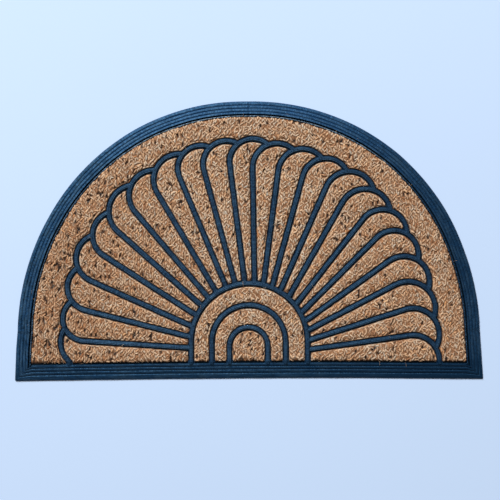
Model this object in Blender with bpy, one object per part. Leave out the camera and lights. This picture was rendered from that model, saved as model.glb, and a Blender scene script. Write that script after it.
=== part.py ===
"""Half-round coir doormat: a coir cloth held in one rubber moulding.

The mat lies on Z = 0 with its straight edge at the front (-Y) and its round edge at the back (+Y). It is
drawn with the straight edge on Y = 0, and each object is then moved so that the world's origin is under its
middle.
"""

import math

import bmesh
import bpy
from mathutils import Vector

# Driving dimensions of the whole mat, in metres
MAT_WIDTH = 0.750
MAT_DEPTH = 0.450
MAT_RADIUS = MAT_WIDTH / 2
SIDE_LENGTH = MAT_DEPTH - MAT_RADIUS
FIT_GAP = 0.0003

# Heights above the floor
BACKING_TOP = 0.0020
RIB_BOTTOM = 0.0046
RIB_TOP = 0.0094
LIP_TOP = 0.0076
COIR_TOP = 0.0100

# Border: ridges that climb inwards, then a deep groove, then the lip that holds the coir's edge
RIDGE_COUNT = 4
RIDGE_START = 0.0009
RIDGE_PITCH = 0.0054
RIDGE_SHOULDER = 0.0010
RIDGE_DEPTH = 0.0011
RIM_HEIGHT = 0.0034
BORDER_SLOPE = 0.17
GROOVE_START = 0.0219
GROOVE_FLOOR = 0.0012
GROOVE_BOTTOM = 0.0036
LIP_START = 0.0236
LIP_END = 0.0253
BASE_LIP_END = 0.0274
LIP_ROUNDING = 0.0006

# Ribs and arches
RIB_WIDTH = 0.0080
RIB_ROUNDING = 0.0013
RIB_END = 0.0258
FOOT_HEIGHT = 0.0310

# Coir cloth: its rounded edge, and the furrows that the ribs press into it. A furrow's sides slope in two
# steps, one row for each end of a step: how far out from the rib's gap, and how far below the cloth's top
COIR_EDGE_FALL = 0.0024
EDGE_STEPS = 2
ROUND_EDGE = 0.5
FURROW_SIDES = (
    (0.0000, 0.0036),
    (0.0009, 0.0012),
    (0.0026, 0.0000),
)
CUTTER_RISE = 0.0020

# The fan is drawn about this point, which every rib's line passes on the same side
HUB_X = 0.0043
HUB_Y = 0.0386

# Nested arches, one row each: middle's X, half width, height of the round part's centre over the mat's
# straight edge
ARCHES = (
    (0.0011, 0.0937, 0.0609),
    (0.0001, 0.0595, 0.0602),
    (-0.0001, 0.0309, 0.0533),
)

# Ribs clockwise from the lower left, one row each: direction in degrees from +X, distance at which its line
# passes the hub, how far its hook reaches from the centre of the mat's round edge, radius of the hook. They
# are as uneven as the mould. The first is only a hook, which stands on a straight foot
RIBS = (
    (185.0, 0.0052, 0.3030, 0.0405),
    (175.9, 0.0053, 0.3000, 0.0355),
    (165.5, 0.0047, 0.3020, 0.0380),
    (155.5, 0.0034, 0.3060, 0.0395),
    (146.9, 0.0061, 0.3030, 0.0390),
    (138.2, 0.0068, 0.3100, 0.0430),
    (130.2, 0.0076, 0.3090, 0.0410),
    (120.5, 0.0037, 0.3120, 0.0415),
    (112.7, 0.0056, 0.3125, 0.0370),
    (105.1, 0.0055, 0.3115, 0.0375),
    (96.9, 0.0040, 0.3125, 0.0370),
    (90.7, 0.0072, 0.3090, 0.0390),
    (82.3, 0.0045, 0.3105, 0.0395),
    (74.2, 0.0026, 0.3110, 0.0385),
    (65.9, 0.0006, 0.3135, 0.0410),
    (60.1, 0.0057, 0.3085, 0.0415),
    (51.5, 0.0056, 0.3075, 0.0395),
    (44.6, 0.0080, 0.3050, 0.0395),
    (35.3, 0.0053, 0.3045, 0.0415),
    (27.3, 0.0064, 0.3035, 0.0440),
    (17.4, 0.0047, 0.3070, 0.0425),
    (7.9, 0.0043, 0.3115, 0.0430),
)

# Steps of the round stretches
RIM_STEPS = 72
ARCH_STEPS = 28
HOOK_STEP = math.radians(11)

COLLECTION_NAME = "half_round_coir_doormat"
RUBBER_COLOUR = (0.020, 0.052, 0.092, 1.0)
COIR_COLOUR = (0.34, 0.20, 0.105, 1.0)


def clear_scene():
    for item in list(bpy.data.objects):
        bpy.data.objects.remove(item, do_unlink=True)


def new_collection(name):
    collection = bpy.data.collections.new(name)
    bpy.context.scene.collection.children.link(collection)
    return collection


def new_material(name, colour, roughness):
    material = bpy.data.materials.new(name)
    material.use_nodes = True
    shader = material.node_tree.nodes["Principled BSDF"]
    shader.inputs["Base Color"].default_value = colour
    shader.inputs["Roughness"].default_value = roughness
    shader.inputs["Metallic"].default_value = 0.0
    return material


def new_object(name, bm, collection, material=None):
    bmesh.ops.recalc_face_normals(bm, faces=bm.faces)
    mesh = bpy.data.meshes.new(name)
    bm.to_mesh(mesh)
    bm.free()
    item = bpy.data.objects.new(name, mesh)
    item.location.y = -MAT_DEPTH / 2
    collection.objects.link(item)
    if material:
        mesh.materials.append(material)
    return item


def as_cutter(item):
    item.hide_render = True
    item.display_type = "WIRE"
    return item


def polar(centre, radius, angle):
    return centre + radius * Vector((math.cos(angle), math.sin(angle)))


# Outlines

def mat_outline(inset, base_inset):
    """The half-round outline, counter-clockwise from the left corner, drawn in by the two insets."""
    radius = MAT_RADIUS - inset
    centre = Vector((0, SIDE_LENGTH))
    corners = [Vector((-radius, base_inset)), Vector((radius, base_inset))]
    rim = [polar(centre, radius, math.pi * step / RIM_STEPS) for step in range(RIM_STEPS + 1)]
    return corners + rim


def mitres(path, closed):
    """For each point of a path, the vector to its left that keeps a strip's width round the corner."""
    result = []
    last = len(path) - 1
    for index, point in enumerate(path):
        before = path[index - 1] if closed or index > 0 else None
        after = path[(index + 1) % len(path)] if closed or index < last else None
        sides = []
        if before is not None:
            sides.append((point - before).normalized().orthogonal())
        if after is not None:
            sides.append((after - point).normalized().orthogonal())
        if len(sides) == 1:
            result.append(sides[0])
        else:
            total = sides[0] + sides[1]
            result.append(total * 2 / total.length_squared)
    return result


def sweep(name, path, profile, closed, collection):
    """A solid strip: profile points (distance to the path's left, height) carried along the path."""
    bm = bmesh.new()
    rings = []
    for point, left in zip(path, mitres(path, closed)):
        ring = [bm.verts.new((*(point + left * offset), height)) for offset, height in profile]
        rings.append(ring)
    pairs = list(zip(rings, rings[1:]))
    if closed:
        pairs.append((rings[-1], rings[0]))
    size = len(profile)
    for ring, following in pairs:
        for corner in range(size):
            other = (corner + 1) % size
            bm.faces.new((ring[corner], ring[other], following[other], following[corner]))
    if not closed:
        bm.faces.new(rings[0])
        bm.faces.new(rings[-1])
    return new_object(name, bm, collection)


def slab(name, outline, bottom, top, collection, material=None, edge_fall=0.0):
    """A flat sheet with the outline's shape, its upper edge rounded off by edge_fall."""
    bm = bmesh.new()
    face = bm.faces.new([bm.verts.new((*point, bottom)) for point in outline])
    grown = bmesh.ops.extrude_face_region(bm, geom=[face])
    raised = [part for part in grown["geom"] if isinstance(part, bmesh.types.BMVert)]
    bmesh.ops.translate(bm, verts=raised, vec=(0, 0, top - bottom))
    if edge_fall:
        edges = [edge for edge in bm.edges if all(vert in raised for vert in edge.verts)]
        bmesh.ops.bevel(
            bm,
            geom=edges,
            offset=edge_fall,
            segments=EDGE_STEPS,
            profile=ROUND_EDGE,
            affect="EDGES",
            clamp_overlap=False,
        )
    return new_object(name, bm, collection, material)


# Paths of the fan

def arch_path(middle_x, half_width, centre_height):
    """A round arch on two straight legs, from the border on the right to the border on the left."""
    centre = Vector((middle_x, centre_height))
    turn = [polar(centre, half_width, math.pi * step / ARCH_STEPS) for step in range(ARCH_STEPS + 1)]
    right_foot = Vector((middle_x + half_width, RIB_END))
    left_foot = Vector((middle_x - half_width, RIB_END))
    return [right_foot] + turn + [left_foot]


def rib_frame(direction_degrees, hub_distance):
    """The rib's outward direction, its clockwise side, and the point of its line nearest to the hub."""
    direction = math.radians(direction_degrees)
    outward = Vector((math.cos(direction), math.sin(direction)))
    clockwise = Vector((outward.y, -outward.x))
    start = Vector((HUB_X, HUB_Y)) + clockwise * hub_distance
    return outward, clockwise, start


def distance_to_circle(point, direction, centre, radius):
    """How far along the direction from the point the line leaves the circle."""
    away = point - centre
    along = away.dot(direction)
    return -along + math.sqrt(along ** 2 - away.length_squared + radius ** 2)


def hook_centre(rib):
    """Centre of the hook's arc, which touches the rib's line and the circle of its reach."""
    direction_degrees, hub_distance, reach, radius = rib
    outward, clockwise, start = rib_frame(direction_degrees, hub_distance)
    beside = start + clockwise * radius
    rim_centre = Vector((0, SIDE_LENGTH))
    return beside + outward * distance_to_circle(beside, outward, rim_centre, reach - radius)


def shank_start(outward, start):
    """Where the rib's line leaves the outer arch: on its round part, or lower down on its leg."""
    middle_x, half_width, centre_height = ARCHES[0]
    centre = Vector((middle_x, centre_height))
    point = start + outward * distance_to_circle(start, outward, centre, half_width)
    if point.y < centre_height:
        leg_x = middle_x + math.copysign(half_width, outward.x)
        point = start + outward * ((leg_x - start.x) / outward.x)
    return point


def foot_offset(centre, radius, side):
    """From a hook's centre to where it turns into its straight foot, on the right (1) or the left (-1)."""
    drop = FOOT_HEIGHT - centre.y
    return Vector((side * math.sqrt(radius ** 2 - drop ** 2), drop))


def hook_end(centre, radius, following):
    """Where the hook's arc crosses the following hook's arc, on the outer side, or comes down to its foot."""
    if following is None:
        return centre + foot_offset(centre, radius, 1)
    other = hook_centre(following)
    apart = other - centre
    along = (apart.length_squared + radius ** 2 - following[-1] ** 2) / (2 * apart.length)
    rise = math.sqrt(radius ** 2 - along ** 2)
    outer_side = Vector((-apart.y, apart.x)).normalized()
    return centre + apart.normalized() * along + outer_side * rise


def rib_path(index):
    """Centre line of one rib: a straight shank, then a hook, clockwise to the next rib or to the border."""
    rib = RIBS[index]
    following = RIBS[index + 1] if index + 1 < len(RIBS) else None
    outward, clockwise, start = rib_frame(*rib[:2])
    centre = hook_centre(rib)
    radius = rib[-1]
    if index == 0:
        begin = foot_offset(centre, radius, -1)
        lead = Vector((centre.x + begin.x, RIB_END))
    else:
        begin = -clockwise
        lead = shank_start(outward, start)
    end = hook_end(centre, radius, following) - centre
    first = math.atan2(begin.y, begin.x)
    turn = (first - math.atan2(end.y, end.x)) % (2 * math.pi)
    steps = math.ceil(turn / HOOK_STEP)
    path = [lead] + [polar(centre, radius, first - turn * step / steps) for step in range(steps + 1)]
    if following is None:
        path.append(Vector((path[-1].x, RIB_END)))
    return path


# Cross-sections

def border_profile():
    """Cross-section of the border, from its outer edge inwards, with its ridges and its lip."""
    points = [(0.0, 0.0), (0.0, RIM_HEIGHT - RIDGE_DEPTH)]
    for ridge in range(RIDGE_COUNT):
        outer = RIDGE_START + ridge * RIDGE_PITCH
        middle = outer + RIDGE_PITCH / 2
        crest = RIM_HEIGHT + BORDER_SLOPE * middle
        points.append((outer + RIDGE_SHOULDER, crest))
        points.append((outer + RIDGE_PITCH - RIDGE_SHOULDER, crest))
        if ridge < RIDGE_COUNT - 1:
            points.append((outer + RIDGE_PITCH, crest - RIDGE_DEPTH))
    points.append((GROOVE_START, GROOVE_BOTTOM))
    points.append((GROOVE_START + GROOVE_FLOOR, GROOVE_BOTTOM))
    points.append((LIP_START, LIP_TOP - LIP_ROUNDING))
    points.append((LIP_START + LIP_ROUNDING, LIP_TOP))
    points.append((LIP_END - LIP_ROUNDING, LIP_TOP))
    points.append((LIP_END, LIP_TOP - LIP_ROUNDING))
    points.append((LIP_END, 0.0))
    return points


def rib_profile():
    """Cross-section of a rib, flat underneath and rounded off above."""
    side = RIB_WIDTH / 2
    return [
        (-side, RIB_BOTTOM),
        (side, RIB_BOTTOM),
        (side, RIB_TOP - RIB_ROUNDING),
        (side - RIB_ROUNDING, RIB_TOP),
        (RIB_ROUNDING - side, RIB_TOP),
        (-side, RIB_TOP - RIB_ROUNDING),
    ]


def furrow_profile():
    """Cross-section of what a rib presses out of the coir: its own width with a gap, and sloping sides."""
    side = RIB_WIDTH / 2 + FIT_GAP
    bottom = RIB_BOTTOM - FIT_GAP
    rising = [(side, bottom)]
    rising += [(side + out, COIR_TOP - down) for out, down in FURROW_SIDES]
    rising.append((rising[-1][0], COIR_TOP + CUTTER_RISE))
    return rising + [(-offset, height) for offset, height in reversed(rising)]


def fan_strips(prefix, profile, collection):
    """The whole fan as separate strips of one cross-section."""
    strips = []
    for index, arch in enumerate(ARCHES):
        strips.append(sweep(f"{prefix}_arch_{index}", arch_path(*arch), profile, False, collection))
    for index in range(len(RIBS)):
        strips.append(sweep(f"{prefix}_rib_{index}", rib_path(index), profile, False, collection))
    return strips


def combine(item, others, operation):
    """A Boolean with a whole collection of other solids, which become guides."""
    for other in others:
        as_cutter(other)
    modifier = item.modifiers.new("combine", "BOOLEAN")
    modifier.operation = operation
    modifier.solver = "EXACT"
    modifier.operand_type = "COLLECTION"
    modifier.collection = others[0].users_collection[0]


# The two pieces

def make_rubber_moulding(collection, guides):
    """Backing, ridged border, arches and ribs, all pressed as one piece of rubber."""
    material = new_material("blue_rubber", RUBBER_COLOUR, 0.62)
    overlap = (LIP_START + LIP_END) / 2
    backing = slab("rubber_moulding", mat_outline(overlap, overlap), 0.0, BACKING_TOP, collection, material)
    border = sweep("guide_border", mat_outline(0, 0), border_profile(), True, guides)
    lip_side = MAT_RADIUS - overlap
    lip_front = LIP_START + 2 * LIP_ROUNDING
    lip_outline = [
        Vector((-lip_side, lip_front)),
        Vector((lip_side, lip_front)),
        Vector((lip_side, BASE_LIP_END)),
        Vector((-lip_side, BASE_LIP_END)),
    ]
    base_lip = slab("guide_base_lip", lip_outline, 0.0, LIP_TOP, guides)
    strips = fan_strips("guide", rib_profile(), guides)
    combine(backing, [border, base_lip] + strips, "UNION")
    return backing


def make_coir_cloth(collection, guides):
    """The coir: one cut cloth, thin where the fan is pressed into it and full between the ribs."""
    material = new_material("coir", COIR_COLOUR, 0.95)
    outline = mat_outline(LIP_END + FIT_GAP, BASE_LIP_END + FIT_GAP)
    bottom = BACKING_TOP + FIT_GAP
    cloth = slab("coir_cloth", outline, bottom, COIR_TOP, collection, material, COIR_EDGE_FALL)
    furrows = fan_strips("furrow", furrow_profile(), guides)
    combine(cloth, furrows, "DIFFERENCE")
    return cloth


def main():
    clear_scene()
    model = new_collection(COLLECTION_NAME)
    rubber_guides = new_collection("rubber_guides")
    coir_guides = new_collection("coir_cutters")
    make_rubber_moulding(model, rubber_guides)
    make_coir_cloth(model, coir_guides)


main()
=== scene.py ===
"""Looks of the half-round coir doormat: rubber moulding, coir cloth, pile, loose fibres, light and camera.

The mat is drawn as the maker's drawing has it, with its straight edge on Y = 0, and each mesh is then moved
by half the depth, so that the world's origin is under the mat's middle. Sizes are in metres.
"""

import math

import bmesh
import bpy
import numpy as np
from mathutils import Matrix, Vector
from mathutils.kdtree import KDTree


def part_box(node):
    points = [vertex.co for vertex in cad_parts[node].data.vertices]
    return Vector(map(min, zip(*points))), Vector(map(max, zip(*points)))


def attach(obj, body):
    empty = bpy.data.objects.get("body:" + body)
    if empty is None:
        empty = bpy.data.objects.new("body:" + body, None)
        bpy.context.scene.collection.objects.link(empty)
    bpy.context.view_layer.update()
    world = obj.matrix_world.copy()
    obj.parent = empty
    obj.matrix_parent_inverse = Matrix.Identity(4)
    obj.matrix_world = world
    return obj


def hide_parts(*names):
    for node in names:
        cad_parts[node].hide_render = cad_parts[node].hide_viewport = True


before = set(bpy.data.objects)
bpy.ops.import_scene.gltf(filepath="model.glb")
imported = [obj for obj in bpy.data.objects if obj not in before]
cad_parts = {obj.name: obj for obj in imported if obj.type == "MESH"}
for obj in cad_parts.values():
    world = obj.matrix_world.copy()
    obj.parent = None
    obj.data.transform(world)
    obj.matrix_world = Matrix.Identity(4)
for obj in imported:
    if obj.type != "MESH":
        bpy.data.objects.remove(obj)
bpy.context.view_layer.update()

# Sizes taken from the frame
RUBBER_LOW, RUBBER_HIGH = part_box("rubber_moulding")
COIR_LOW, COIR_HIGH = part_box("coir_cloth")
MAT_WIDTH = RUBBER_HIGH.x - RUBBER_LOW.x
MAT_DEPTH = RUBBER_HIGH.y - RUBBER_LOW.y
MAT_RADIUS = MAT_WIDTH / 2
SIDE_LENGTH = MAT_DEPTH - MAT_RADIUS
RIB_TOP = RUBBER_HIGH.z
COIR_TOP = COIR_HIGH.z
COIR_RADIUS = COIR_HIGH.x
COIR_FRONT = COIR_LOW.y + MAT_DEPTH / 2
COIR_UNDERSIDE = COIR_LOW.z
RIM_CENTRE = np.array((0.0, SIDE_LENGTH))
TO_WORLD = np.array((0.0, -MAT_DEPTH / 2, 0.0))

# The fan's own lines, as the mould has them
HUB = np.array((0.0043, 0.0386))
# Each arch: middle of its feet, half its width, and the height where its legs turn into its round part
ARCHES = (
    (0.0011, 0.0937, 0.0609),
    (0.0001, 0.0595, 0.0602),
    (-0.0001, 0.0309, 0.0533),
)
# Each rib: direction in degrees, how far its line passes the hub, reach from the rim's centre, hook's radius
RIBS = (
    (185.0, 0.0052, 0.3030, 0.0405),
    (175.9, 0.0053, 0.3000, 0.0355),
    (165.5, 0.0047, 0.3020, 0.0380),
    (155.5, 0.0034, 0.3060, 0.0395),
    (146.9, 0.0061, 0.3030, 0.0390),
    (138.2, 0.0068, 0.3100, 0.0430),
    (130.2, 0.0076, 0.3090, 0.0410),
    (120.5, 0.0037, 0.3120, 0.0415),
    (112.7, 0.0056, 0.3125, 0.0370),
    (105.1, 0.0055, 0.3115, 0.0375),
    (96.9, 0.0040, 0.3125, 0.0370),
    (90.7, 0.0072, 0.3090, 0.0390),
    (82.3, 0.0045, 0.3105, 0.0395),
    (74.2, 0.0026, 0.3110, 0.0385),
    (65.9, 0.0006, 0.3135, 0.0410),
    (60.1, 0.0057, 0.3085, 0.0415),
    (51.5, 0.0056, 0.3075, 0.0395),
    (44.6, 0.0080, 0.3050, 0.0395),
    (35.3, 0.0053, 0.3045, 0.0415),
    (27.3, 0.0064, 0.3035, 0.0440),
    (17.4, 0.0047, 0.3070, 0.0425),
    (7.9, 0.0043, 0.3115, 0.0430),
)
RIB_WIDTH = 0.0080
RIB_END = 0.0238
FOOT_HEIGHT = 0.0310
PATH_STEP = 0.0045

# Rubber: cross-section of the ribs and arches
RIB_BOTTOM = 0.0046
RIB_TOP_WIDTH = 0.0066
RIB_DOME = 0.0029
RIB_ROUNDNESS = 2.0
RIB_LINES = 3
RIB_LINE_DEPTH = 0.00065
RIB_PROFILE_STEPS = 20
WEB_TOP = 0.0049
WEB_WIDTH = 0.0014
WEB_POINTS = 3
STRIP_WANDER = 0.00025
STRIP_SWELL = 0.05
STRIP_UNEVEN = 0.0002
# How many points at a strip's ends don't wander fully
STEADY_POINTS = 4
RIB_DROP = 0.0004
HUB_DIP = 0.0011

# Rubber: cross-section of the backing and the border
BACKING_TOP = 0.0020
RIDGE_COUNT = 4
RIDGE_START = 0.0009
RIDGE_PITCH = 0.0054
RIDGE_DEPTH = 0.0013
RIDGE_FLATNESS = 4.2
RIDGE_STEPS = 9
RIM_HEIGHT = 0.0022
RIM_ROUNDING = (-0.0012, 0.0022)
RIM_FOOT = (0.00048, 0.00128)
FOOT_BEVEL = 0.0003
BORDER_SLOPE = 0.235
BORDER_UNEVEN = 0.00022
GROOVE_START = 0.0212
GROOVE_END = 0.0230
GROOVE_BOTTOM = 0.0018
GROOVE_MARGIN = 0.0003
LIP_START = 0.0236
LIP_END = 0.0253
LIP_MIDDLE = (LIP_START + LIP_END) / 2
LIP_TOP = 0.0072
LIP_ROUNDING = 0.0005
RIM_STEP = 0.0045
OUTLINE_STEPS = 120
CORNER_RADIUS = 0.0026
CUTTER_HEIGHTS = (-0.01, 0.02)
SEAM_HEIGHT = 0.0005
SEAM_WIDTH = 0.0024
SHARP_ANGLE = math.radians(38)

# Rubber along the base: where the ridges lie there, by their distance from the edge round the rim
RIDGES_AT_BASE = (
    (0.0000, 0.0000), (0.0020, 0.0034), (0.0063, 0.0090),
    (0.0117, 0.0148), (0.0171, 0.0201), (0.0214, 0.0243),
)
BASE_MARGIN = 0.001
BASE_LIP_END = 0.0274
BASE_LIP_DROP = 0.0004
BASE_LIP_FALL = 0.0034
BASE_RIDGE_END = 0.0252
BASE_DEEPER = 0.5
CREVICE_BOTTOM = 0.0030

# Rubber: the ragged film on the lip
FLASH_STEP = 0.0016
FLASH_RISE = 0.0010
FLASH_REACH = 0.0007
FLASH_CREST = 0.45
FLASH_THICKNESS = 0.0003
FLASH_DEPTH = 0.0025
FLASH_BASE_DROP = 0.0036

# Rubber: where its marks lie (grain on the border, the torn film, and the painted shade of the web, the
# groove and the crevice), in from the coir's edge, and how high they reach
FINE_STEP = 0.0006
LINE_SHIFT = 0.7
ON_BORDER = -0.0002
ON_WEB = 0.0004
GROOVE_REACH = 0.0014
CREVICE_REACH = 0.0027
MARK_MARGIN = 0.0003
FILM_DEPTH = 0.0008
# How pale the torn film is everywhere, and the painted light added to it at the left and at the top, where
# the lamp's light falls on it
FRAYED = 0.05
LIT_FILM_LEFT = 0.30
LIT_FILM_LEFT_FROM = (0.15, 0.25)
LIT_FILM_TOP = 0.95
LIT_FILM_TOP_FROM = (0.30, 0.40)

# Coir: how far the pile keeps from rubber, and how its top rounds down to it
RIB_CLEARANCE = RIB_WIDTH / 2 + 0.0012
NARROW_CLEARANCE = RIB_WIDTH / 2 + 0.0001
NARROW_ROOM = 0.0017
OUTER_INSET = 0.0003
FRONT_INSET = 0.0010
CORNER_INSET = 0.0013
CORNER_FROM = (0.27, 0.33)
SIDE_INSET = 0.0012
SIDE_FROM = (0.22, 0.30)
FRONT_DEPTH = 0.012
BRUSHED_WAY = (-0.41, 0.91)
BRUSHED_GAP = 0.00105
EDGE_ROUNDING = 0.0062
EDGE_DROP = 0.0042
LARGEST_MOVE = 0.0042
CUT_CORNER = 0.0009
FIELD_PITCH = 0.0010
FIELD_REACH = 0.016
ROOM_STEPS = 4

# Coir: the ground, which sinks and is painted near black as shade in its pits, its furrows and along the
# straight edge
SHEET_PITCH = 0.0026
SHEET_SLACK = 0.72
SHEET_DEPTH = 0.0010
SHEET_UNEVEN = 0.0003
SHEET_WAVES = (0.006, 0.009)
FURROW_BOTTOM = 0.0042
FURROW_EDGE = (-0.0012, 0.0010)
PIT_DEPTH = 0.0018
PIT_RADIUS = 0.0031
PIT_SHAPE = (1.3, 0.6)
FRONT_GAP = (-0.0008, 0.0010)
FRONT_GAP_END = 0.002
SHEET_SHARP_ANGLE = math.radians(60)

# Coir: the yarn loops
COLUMN_PITCH = 0.0034
ROW_PITCH = 0.0064
COLUMN_SPREAD = 0.00045
ROW_SPREAD = 0.0008
DRIFT = 0.0012
DRIFT_WAVES = (0.035, 0.06)
LOOP_LEAN = math.radians(26)
LEAN_SPREAD = 0.45
LEAN_DRIFT = 0.16
LEAN_WAVES = (0.05, 0.08)
ALONG_RIB_START = 0.0010
ALONG_RIB_WIDTH = 0.0030
LOOP_OVERLAP = 0.0006
MISSING_SHARE = 0.050
# How fast more loops are missing where the coir is darker
MISSING_BY_DARKENING = 30
LOOP_LENGTH = 0.0080
LOOP_LENGTHS = (0.72, 1.12)
LOOP_BOW = 0.0004
LOOP_RADIUS = 0.00152
LOOP_RADII = (0.65, 1.20)
LOOP_DIP = 0.0007
LOOP_UNEVEN = 0.00020
# Painted shade at a loop's ends, where they dip under their neighbours: their colour as a share of its top's
LOOP_END_SHADE = np.array((0.90, 0.77, 0.65))
LOOP_SHADE = 0.626
LOOP_SHADE_SPREAD = 0.030
LOOP_RED_SPREAD = 0.55
LOOP_RINGS = 6
LOOP_SIDES = 5
LOOP_PIECES = 3
BROWN_SHARE = 0.07
BROWNER = 0.28

# Coir: thin strands on the loops, and near-black ones between them that paint the shade of gaps
STRANDS_PER_LOOP = 0.8
STRAND_SPREAD = 0.0010
STRAND_TURN = 0.30
STRAND_LENGTHS = (0.32, 0.68)
STRAND_RADIUS = 0.00062
STRAND_RADII = (0.6, 1.3)
STRAND_INSETS = (-0.0004, 0.0010)
STRAND_DIP = 0.0012
STRAND_UNEVEN = 0.00016
STRAND_RINGS = 4
STRAND_SIDES = 3
STRAND_PIECES = 2
STRAND_FLATNESS = 0.32
# Each strand's streaks are read this much farther on in the noise, within a span
NEXT_STREAKS = 0.37
STREAK_SPAN = 10
DARK_STRANDS = 0.42
STRAND_SHADES = (0.48, 0.63)
STRAND_SHADE_SPREAD = 0.045
STRAND_RED_SPREAD = 0.7
SHADOW_STRANDS = 0.12
SHADOW_STRAND_WIDTH = 1.35
SHADOW_STRAND_SHADE = 0.05

# Coir: strands pressed flat along the fan, coloured darker than the loops as painted shade on the pile's
# side wall
EDGE_INSET = 0.0004
EDGE_TURN = 0.07
EDGE_WOBBLE = (-0.0003, 0.0002)
EDGE_RADIUS = 0.0009
EDGE_RADII = (0.7, 1.1)
EDGE_SINK = 0.0009
EDGE_UNEVEN = 0.00025
EDGE_STEP = 0.0060
EDGE_LENGTH = 0.0130
EDGE_LENGTHS = (0.7, 1.2)
EDGE_SHADE = 0.44
EDGE_SHADE_SPREAD = 0.10
EDGE_ROOM = 0.0030
EDGE_MARGIN = 0.0025
EDGE_OFF_LINE = 0.0008

# Coir: single fibres, and strays on the rubber
FIBRE_COUNT = 3000
FIBRE_TURN = 0.75
FIBRE_LENGTHS = (0.004, 0.012)
FIBRE_BOW = 0.0010
FIBRE_MARGINS = (-0.0009, 0.0003)
FIBRE_LIFTS = (0.0, 0.0009)
FIBRE_RADIUS = 0.00016
FIBRE_RADII = (0.7, 1.35)
FIBRE_SHADES = (0.55, 1.0)
FIBRE_RED_SPREAD = 0.8
FIBRE_RINGS = 5
FIBRE_SINK = 0.0003
STRAY_COUNT = 70
STRAY_START = 0.006
STRAY_REACH = 0.006
STRAY_RIDGE = 0.0145
STRAY_LENGTHS = (0.004, 0.010)
STRAY_BOW = 0.0016
STRAY_SHADES = (0.7, 1.0)

# Coir: how its shade differs from place to place. A pair is the wavelengths, or where a change sets in
PATCHES = (0.009, 0.014)
PATCH_SHADE = 0.060
STRAND_PATCH_SHADE = 0.040
BANDS = (0.03, 0.07)
BAND_SHADE = 0.045
LEFT_DARKER = 0.055
LEFT_FROM = (0.12, 0.32)
TOP_LIGHTER = 0.078
TOP_FROM = (0.75, 0.97)
RIM_DARKER = 0.038
RIM_FROM = (0.28, 0.32)
INNER_LIGHTER = 0.045
INNER_UP_TO = (0.07, 0.10)
HUB_DARKER = 0.03
HUB_UP_TO = (0.03, 0.06)

# Coir: its colours from dark brown to straw, and how red it is
PALETTE = np.array((
    (0.095, 0.046, 0.025),
    (0.350, 0.155, 0.072),
    (0.545, 0.335, 0.202),
    (0.692, 0.522, 0.375),
    (0.780, 0.655, 0.515),
))
# How much more red, and how much less green and blue, a redder strand has
REDDER = np.array((0.10, -0.04, -0.18))
COIR_RED = 0.2

# How the mat lies: direction from the rim's centre in degrees, and how far its edge lies outwards there
LIE_OF_RIM = (
    (0, -0.0019), (10, -0.0025), (20, -0.0026), (32, -0.0003), (50, 0.0016), (62, 0.0012), (75, 0.0000),
    (90, -0.0018), (102, -0.0002), (118, 0.0008), (130, 0.0000), (140, -0.0009), (150, -0.0022),
    (160, -0.0027), (170, -0.0026), (180, -0.0019),
)
# Distance from the base, and how far the left and the right side lie outwards there
LIE_OF_SIDES = (
    (0.0, 0.0026, 0.0032), (0.03, 0.0014, 0.0013), (0.05, 0.0006, 0.0), (0.075, -0.0016, -0.0017),
)
# Distance from the middle of the base to the right, and how far the base lies inwards there
LIE_OF_BASE = (
    (-0.375, -0.0013), (-0.28, -0.0003), (-0.15, 0.0008), (0.0, 0.0014), (0.12, 0.0014), (0.20, 0.0006),
    (0.28, -0.0005), (0.375, -0.0017),
)
LIE_REACH = (0.030, 0.060)

# Camera and light
CAMERA_PLACE = (0.0029, -0.0193, 1.4546)
CAMERA_TILT = math.radians(0.1)
CAMERA_ROLL = math.radians(-0.32)
CAMERA_LENS = 64.8
CAMERA_SENSOR = 36.0
CAMERA_CLIP = 0.01
KEY_PLACE = (-2.35, 5.20, 5.00)
KEY_SIZE = 5.4
KEY_POWER = 850.0
KEY_COLOUR = (0.93, 0.97, 1.0)
SKY_COLOUR = (1.0, 0.92, 0.84)
SKY_STRENGTH = 0.22
FLOOR_SIZE = 6.0
FLOOR_HEIGHT = -0.0002
FLOOR_COLOUR = (0.590, 0.725, 0.945)
FLOOR_LIGHTER = 1.04

rng = np.random.default_rng(7)


# Small helpers

def unit(vectors):
    length = np.linalg.norm(vectors, axis=-1, keepdims=True)
    return vectors / np.maximum(length, 1e-12)


def ramp(value, low, high):
    """From 0 at the low value to 1 at the high one, smoothly."""
    share = np.clip((value - low) / (high - low), 0, 1)
    return share * share * (3 - 2 * share)


def waves(points, wavelengths, seed):
    """A smooth random value for each point, from a sum of waves in many directions."""
    local = np.random.default_rng(seed)
    directions = 4
    total = np.zeros(points.shape[:-1])
    for wavelength in wavelengths:
        for _ in range(directions):
            angle = local.uniform(0, 2 * math.pi)
            phase = local.uniform(0, 2 * math.pi)
            direction = np.array((math.cos(angle), math.sin(angle)))
            total += np.sin(points @ direction * 2 * math.pi / wavelength + phase)
    return total / (directions * len(wavelengths)) ** 0.5


def slow_noise(count, step, amount):
    """A smooth random value for each of the count places that lie a step apart."""
    wavelengths = (0.031, 0.053, 0.091)
    places = np.arange(count) * step
    total = np.zeros(count)
    for wavelength in wavelengths:
        phase = rng.uniform(0, 2 * math.pi)
        total += np.sin(2 * math.pi * places / wavelength + phase)
    return total * amount / len(wavelengths)


def on_circle(centre, radius, angles):
    angles = np.asarray(angles, float)
    return centre + radius * np.stack((np.cos(angles), np.sin(angles)), -1)


def distances_along(path):
    """How far along the path each of its points is."""
    return np.concatenate(([0.0], np.cumsum(np.linalg.norm(np.diff(path, axis=0), axis=1))))


def finely(path, step):
    """The path with points added so that none of its stretches is longer than the step."""
    result = [path[0]]
    for start, end in zip(path, path[1:]):
        count = max(1, math.ceil(np.linalg.norm(end - start) / step))
        for index in range(1, count + 1):
            result.append(start + (end - start) * index / count)
    return np.array(result)


def add_object(name, mesh):
    item = bpy.data.objects.new(name, mesh)
    bpy.context.scene.collection.objects.link(item)
    return item


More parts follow.
